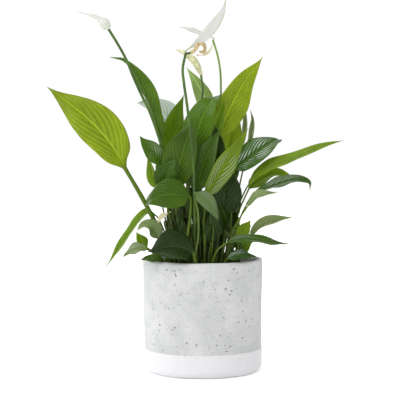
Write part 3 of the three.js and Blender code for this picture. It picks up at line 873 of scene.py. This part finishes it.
# the short stalk that carries the spadix comes out of the top of the flower's stem
stem_top = rod_line("main_flower_stem")[0][-1]
bend = (stem_top + middles[0]) / 2 - (0, 0, SPADIX_STALK_SAG)
stalk = np.stack([stem_top, bend, middles[0], middles[1]])
stalk_mesh = rod_mesh("spadix_stalk", stalk, np.full(4, SPADIX_STALK_RADIUS), ridged)
place_piece("spadix_stalk", stalk_mesh, dark_stem_skin, "flower_stem")
spadix_mesh = rod_mesh("withered_spadix_fine", middles, radii, lumpy)
place_piece("withered_spadix_fine", spadix_mesh, dried_skin, "withered_spadix", "withered_spadix")
print("spadix stalk starts at", stem_top.round(3))

# %% [markdown]
# ## Pot
# The pot is cast concrete: grey, cloudy, and full of small round holes where air was trapped
# against the mould. The holes are real dents in the mesh, and a map beside it remembers how deep
# each point lies, so that the finish can paint shade into the dents; the small pinholes and the
# inner wall are painted darker as shade too. The foot has been dipped in white paint, a third of a
# millimetre thick, which fills most of the holes.

# %% Pot outline
pot_points = np.array([v.co[:] for v in frame["nodes"]["pot"].data.vertices])
pot_radii = np.hypot(pot_points[:, 0], pot_points[:, 1])
POT_TOP = pot_points[:, 2].max()
RIM_RADIUS = pot_radii.max()
FOOT_ROUNDING = 9 * MM
FOOT_RADIUS = pot_radii[pot_points[:, 2] < FOOT_ROUNDING + 1 * MM].max()
WALL = 6.5 * MM
INNER_FLOOR = 9 * MM
BAND_TOP = 27.5 * MM
BAND_THICKNESS = 0.3 * MM
POT_COLUMNS = 760
POT_ROW_STEP = 0.58 * MM


def arc_points(radius, height, size, start, end, count):
    angles = np.linspace(math.radians(start), math.radians(end), count)
    return np.stack([radius + size * np.cos(angles), height + size * np.sin(angles)], axis=1)


def line_points(first, last, count):
    return np.linspace(first, last, count, endpoint=False)[1:]


lip = WALL / 2
wall_rows = int((POT_TOP - lip - FOOT_ROUNDING) / POT_ROW_STEP)
foot_arc = arc_points(FOOT_RADIUS - FOOT_ROUNDING, FOOT_ROUNDING, FOOT_ROUNDING, -90, 0, 22)
lip_arc = arc_points(RIM_RADIUS - lip, POT_TOP - lip, lip, 0, 180, 20)
outline = np.concatenate([
    line_points((0, 0), foot_arc[0], 10), foot_arc,
    line_points(foot_arc[-1], lip_arc[0], wall_rows), lip_arc,
    line_points(lip_arc[-1], (FOOT_RADIUS - WALL, INNER_FLOOR), 40), [(FOOT_RADIUS - WALL, INNER_FLOOR)],
    line_points((FOOT_RADIUS - WALL, INNER_FLOOR), (0, INNER_FLOOR), 6),
])
outline_step = np.gradient(outline, axis=0)
outline_out = np.stack([outline_step[:, 1], -outline_step[:, 0]], axis=1)
outline_out /= np.linalg.norm(outline_out, axis=1, keepdims=True)
print("pot outline points:", len(outline), "rim radius", round(float(RIM_RADIUS), 4))

# %% Pot mesh with pits
BIG_PITS, SMALL_PITS, BAND_PITS = 420, 2600, 30
pot_angles = np.arange(POT_COLUMNS) / POT_COLUMNS * 2 * np.pi
pit_depth = np.zeros((len(outline), POT_COLUMNS))
pit_painted_shade = np.zeros_like(pit_depth)
outer = (outline_out[:, 0] > 0.2) | (outline[:, 1] > POT_TOP - lip)


def add_pits(count, low, high, smallest, largest, deep, mark):
    for _ in range(count):
        angle, height = rng.uniform(0, 2 * np.pi), rng.uniform(low, high)
        size = smallest + (largest - smallest) * rng.random() ** 2.5
        stretch, darkness = rng.uniform(0.8, 1.25), rng.uniform(0.5, 1.0)
        rows = np.nonzero(outer & (abs(outline[:, 1] - height) < 1.5 * size))[0]
        reach = int(1.5 * size / RIM_RADIUS / (2 * np.pi) * POT_COLUMNS) + 1
        middle = int(angle / (2 * np.pi) * POT_COLUMNS)
        columns = np.arange(middle - reach, middle + reach + 1)
        across = (columns / POT_COLUMNS * 2 * np.pi - angle) * RIM_RADIUS * stretch
        far = np.hypot(across[None, :], (outline[rows, 1] - height)[:, None]) / size
        bowl = 1 - smoothstep(0.55, 1.15, far)
        where = np.ix_(rows, columns % POT_COLUMNS)
        pit_depth[where] = np.maximum(pit_depth[where], bowl * size * deep)
        # painted shade: how dark each dent is painted, kept in the map beside the mesh
        pit_painted_shade[where] = np.maximum(pit_painted_shade[where], bowl * darkness * mark)


add_pits(BIG_PITS, BAND_TOP, POT_TOP - 6 * MM, 0.5 * MM, 1.25 * MM, 0.9, 1.0)
add_pits(SMALL_PITS, BAND_TOP - 1 * MM, POT_TOP - 1 * MM, 0.34 * MM, 0.68 * MM, 0.6, 0.62)
add_pits(BAND_PITS, 4 * MM, BAND_TOP - 2 * MM, 0.4 * MM, 0.75 * MM, 0.6, 0.55)
heights = outline[:, 1][:, None]
around = pot_angles[None, :]
band_line = BAND_TOP + 0.35 * MM * np.sin(3 * around + 1) + 0.15 * MM * np.sin(17 * around)
paint = BAND_THICKNESS * (1 - smoothstep(-0.5 * MM, 0.5 * MM, heights - band_line))
uneven = 0.14 * MM * (np.sin(5 * around + 60 * heights) + np.sin(9 * around - 45 * heights + 2))
uneven = uneven + 0.05 * MM * np.sin(31 * around + 210 * heights) * np.sin(270 * heights - 11 * around)
out = (uneven + paint - BAND_THICKNESS) * outer[:, None] - pit_depth
flat = outline[:, None, :] + outline_out[:, None, :] * out[:, :, None]
grid = np.stack([flat[..., 0] * np.cos(around), flat[..., 0] * np.sin(around), flat[..., 1]], axis=-1)
grid[..., 2] = np.maximum(grid[..., 2], 0)
print("pits:", BIG_PITS + SMALL_PITS + BAND_PITS)

# %% Turn the pot
def turned_mesh(name, grid, first_end, last_end, marks):
    """A closed mesh of rings stacked along an outline, with a UV map of marks."""
    rows, columns = grid.shape[:2]
    points = np.concatenate([grid.reshape(-1, 3), [first_end, last_end]])
    mesh = bpy.data.meshes.new(name)
    mesh.from_pydata(points.tolist(), [], ring_faces(rows, columns))
    loops = np.zeros(len(mesh.loops), int)
    mesh.loops.foreach_get("vertex_index", loops)
    both = np.stack([np.append(mark.ravel(), [0.0, 0.0])[loops] for mark in marks], axis=-1)
    mesh.uv_layers.new(name="pit").data.foreach_set("uv", both.ravel())
    mesh.shade_smooth()
    return mesh


# painted shade: marks the inner wall of the pot, which the finish darkens
inner_wall_shade_mask = np.broadcast_to(((~outer) & (outline[:, 1] > 1 * MM))[:, None], pit_painted_shade.shape).astype(float)
pot_mesh = turned_mesh("pot_fine", grid, (0, 0, 0), (0, 0, INNER_FLOOR), (pit_painted_shade, inner_wall_shade_mask))
print("pot faces:", len(pot_mesh.polygons))

# %% Concrete finish
CONCRETE_LIGHT = (0.52, 0.528, 0.524)
CONCRETE_DARK = (0.4, 0.408, 0.405)
DIP_WHITE = (0.585, 0.585, 0.6)


def concrete_finish():
    f = Finish("concrete_finish")
    pit, inner_wall_shade = f.chart("pit")
    where = f.place()
    height = f.node("ShaderNodeSeparateXYZ", {}, {"Vector": where}, output="Z")
    cloud = f.noise(where, 22.0, 5.0, 0.62)
    blotch = f.noise(where, 75.0, 4.0, 0.6)
    sand = f.noise(where, 1500.0, 2.0, 0.6)
    ragged = f.noise(where, 260.0, 3.0)
    pin = f.node("ShaderNodeTexVoronoi", {}, {"Vector": where, "Scale": 420.0})
    pinhole = pin.ramp(0.1, 0.24, 1.0, 0.0) * blotch.ramp(0.42, 0.62)
    bare = (height + ragged * (0.4 * MM)).ramp(BAND_TOP - 0.2 * MM, BAND_TOP + 0.4 * MM)
    clouds = cloud.ramp(0.3, 0.7) * 0.7 + blotch.ramp(0.35, 0.75) * 0.3
    colour = f.blend(clouds, CONCRETE_LIGHT, CONCRETE_DARK)
    colour = f.blend(sand.ramp(0.35, 0.7) * 0.16, colour, (0.4, 0.41, 0.4))
    colour = f.blend(cloud.ramp(0.58, 0.8) * 0.35, colour, (0.62, 0.63, 0.63))
    # painted shade: small pinholes are darkened
    colour = f.blend(pinhole * 0.4, colour, (0.22, 0.22, 0.215))
    dip = f.blend(blotch.ramp(0.3, 0.8) * 0.4 + sand * 0.08, DIP_WHITE, (0.54, 0.54, 0.56))
    colour = f.blend(1.0 - bare, colour, dip)
    # painted shade: the dents are darkened almost to black
    colour = f.blend(pit * 0.9, colour, (0.1, 0.1, 0.098))
    # painted shade: the inner wall is darker
    colour = f.blend(inner_wall_shade * 0.35, colour, (0.3, 0.3, 0.29))
    rough = bare * 0.3 + sand * 0.1 + 0.5
    relief = (sand * 0.5 + ragged * 0.4 - pinhole) * (bare * 0.75 + 0.25)
    return f.surface(f.skin(colour, rough, 0.25, relief, 0.5, 0.4 * MM))


place_piece("pot_fine", pot_mesh, concrete_finish(), "concrete", "pot")
print("painted foot is", BAND_TOP, "m high")

# %% [markdown]
# ## Soil
# Potting mix is dark crumbs with scraps of bark lying on top. The crumbs are a lumpy disc, and each
# scrap of bark is a small split block of its own.

# %% Soil
soil_points = np.array([v.co[:] for v in frame["nodes"]["soil"].data.vertices])
soil_radii = np.hypot(soil_points[:, 0], soil_points[:, 1])
SOIL_TOP, SOIL_BASE = soil_points[:, 2].max(), soil_points[:, 2].min()
SOIL_RADIUS = soil_radii[soil_points[:, 2] > SOIL_TOP - 6 * MM].max()
SOIL_FOOT_RADIUS = soil_radii[soil_points[:, 2] < SOIL_BASE + 1 * MM].max()
SOIL_EDGE = SOIL_TOP - 3 * MM
CRUMB = 0.9 * MM
SOIL_COLUMNS = 300
SOIL_BROWN = ((0.012, 0.008, 0.005), (0.05, 0.032, 0.02), (0.12, 0.085, 0.055))


def lumps(x, y):
    """Uneven ground, made of crossing waves of several sizes."""
    rise = np.zeros_like(x)
    for k in range(24):
        turn, wave, shift = rng.uniform(0, 2 * np.pi), rng.uniform(250, 2400), rng.uniform(0, 2 * np.pi)
        rise += np.sin((x * np.cos(turn) + y * np.sin(turn)) * wave + shift) * (250 / wave) ** 0.35
    return rise / 8


soil_radius_steps = np.linspace(SOIL_RADIUS, 0.5 * MM, 90)
soil_angles = np.arange(SOIL_COLUMNS) / SOIL_COLUMNS * 2 * np.pi
sx = soil_radius_steps[:, None] * np.cos(soil_angles)
sy = soil_radius_steps[:, None] * np.sin(soil_angles)
crown = SOIL_EDGE + (SOIL_TOP - SOIL_EDGE) * (1 - (soil_radius_steps[:, None] / SOIL_RADIUS) ** 2)
top_grid = np.stack([sx, sy, crown + np.abs(lumps(sx, sy)) * CRUMB * 2 - CRUMB * 0.5], axis=-1)
side_grid = []
for share in np.linspace(0, 1, 6)[:-1]:
    radius = SOIL_FOOT_RADIUS + (SOIL_RADIUS - SOIL_FOOT_RADIUS) * share
    ring = np.stack([radius * np.cos(soil_angles), radius * np.sin(soil_angles)], axis=-1)
    height = SOIL_BASE + (SOIL_EDGE - SOIL_BASE) * share
    side_grid.append(np.concatenate([ring, np.full((SOIL_COLUMNS, 1), height)], axis=1))
soil_grid = np.concatenate([np.array(side_grid), top_grid])
no_marks = np.zeros(soil_grid.shape[:2])
soil_mesh = turned_mesh("soil_fine", soil_grid, (0, 0, SOIL_BASE), (0, 0, SOIL_TOP), (no_marks, no_marks))
soil_skin = plain_skin("soil_finish", *SOIL_BROWN, 240.0, 0.75, 1 * MM)
place_piece("soil_fine", soil_mesh, soil_skin, "potting_soil", "soil")
print("soil faces:", len(soil_mesh.polygons))

# %% Bark
BARK_SCRAPS = 240
BARK_BROWN = ((0.03, 0.016, 0.008), (0.11, 0.06, 0.03), (0.2, 0.14, 0.09))
bark = bmesh.new()
for _ in range(BARK_SCRAPS):
    reach, angle = (SOIL_RADIUS - 3 * MM) * math.sqrt(rng.random()), rng.uniform(0, 2 * math.pi)
    scrap = bmesh.ops.create_icosphere(bark, subdivisions=1, radius=0.5)["verts"]
    size = np.array([rng.uniform(2, 7), rng.uniform(1.5, 3.5), rng.uniform(0.6, 1.5)]) * MM
    turn = Quaternion((0, 0, 1), rng.uniform(0, 2 * math.pi)) @ Quaternion((1, 0, 0), rng.uniform(-0.4, 0.4))
    ground = SOIL_EDGE + (SOIL_TOP - SOIL_EDGE) * (1 - (reach / SOIL_RADIUS) ** 2) + 0.7 * MM
    for vertex in scrap:
        rough = Vector([c * (1 + rng.uniform(-0.22, 0.22)) for c in vertex.co])
        place = turn @ Vector([c * k for c, k in zip(rough, size)])
        vertex.co = place + Vector((reach * math.cos(angle), reach * math.sin(angle), ground))
bark_mesh = bpy.data.meshes.new("bark_scraps")
bark.to_mesh(bark_mesh)
bark.free()
bark_skin = plain_skin("bark_finish", *BARK_BROWN, 300.0, 0.7, 0.6 * MM)
place_piece("bark_scraps", bark_mesh, bark_skin, "potting_soil")
print("bark scraps:", BARK_SCRAPS)

# %% [markdown]
# ## Studio
# The room is a white tent: light comes from everywhere, and more of it through two brighter panels,
# one behind on the left, which makes the leaves on that side glow, and one in front, high on the
# left. The panels belong to the world, so they light thin leaves cleanly from behind. A small soft
# lamp in front gives the waxy skins their shine.

# %% World
TENT_LIGHT = 1.02
# each panel's direction, its reach in degrees, and how much light it adds
PANELS = (((-0.75, 0.55, 0.35), 34, 3.1), ((-0.62, -0.55, 0.6), 22, 2.4))

world = bpy.data.worlds.new("studio")
bpy.context.scene.world = world
tent = Finish("studio", world)
direction = tent.node("ShaderNodeTexCoord", output="Generated")
strength = TENT_LIGHT
for aim, reach, power in PANELS:
    towards = Vector(aim).normalized()
    facing = tent.node(
        "ShaderNodeVectorMath", {"operation": "DOT_PRODUCT"}, {0: direction, 1: towards[:]}, output="Value",
    )
    edge, full = math.cos(math.radians(reach)), math.cos(math.radians(reach * 0.5))
    strength = facing.ramp(edge, full) * power + strength
tent.surface(tent.node("ShaderNodeBackground", {}, {"Color": (1, 1, 1, 1), "Strength": strength}))

print("panels:", len(PANELS))

# %% Paper floor
FLOOR_HALF = 4.0
FLOOR_GLOW = 0.2
floor_finish = Finish("paper_floor")
grain = floor_finish.noise(floor_finish.place(), 60.0, 3.0)
floor_colour = floor_finish.blend(grain, (0.93, 0.93, 0.93), (0.96, 0.96, 0.96))
floor_material = floor_finish.surface(floor_finish.node("ShaderNodeBsdfPrincipled", {}, {
    "Base Color": floor_colour, "Roughness": 0.8, "Specular IOR Level": 0.2,
    "Emission Color": (1, 1, 1, 1), "Emission Strength": FLOOR_GLOW,
}))
floor_mesh = bpy.data.meshes.new("floor")
corners = [(x * FLOOR_HALF, y * FLOOR_HALF, 0) for x, y in ((-1, -1), (1, -1), (1, 1), (-1, 1))]
floor_mesh.from_pydata(corners, [], [(0, 1, 2, 3)])
floor_mesh.materials.append(floor_material)
floor = bpy.data.objects.new("floor", floor_mesh)
bpy.context.scene.collection.objects.link(floor)
print("floor half width:", FLOOR_HALF)

# %% Softbox
SOFTBOX_PLACE = Vector((-0.35, -1.1, 1.35))
SOFTBOX_AIM = Vector((0, 0, 0.25))
SOFTBOX_SIZE = 0.4
SOFTBOX_WATTS = 4

softbox = bpy.data.lights.new("high_front_softbox", "AREA")
softbox.shape, softbox.size, softbox.energy = "DISK", SOFTBOX_SIZE, SOFTBOX_WATTS
lamp = bpy.data.objects.new("high_front_softbox", softbox)
lamp.location = SOFTBOX_PLACE
lamp.rotation_euler = (SOFTBOX_AIM - SOFTBOX_PLACE).to_track_quat("-Z", "Y").to_euler()
bpy.context.scene.collection.objects.link(lamp)
bpy.context.scene.view_settings.view_transform = "Standard"
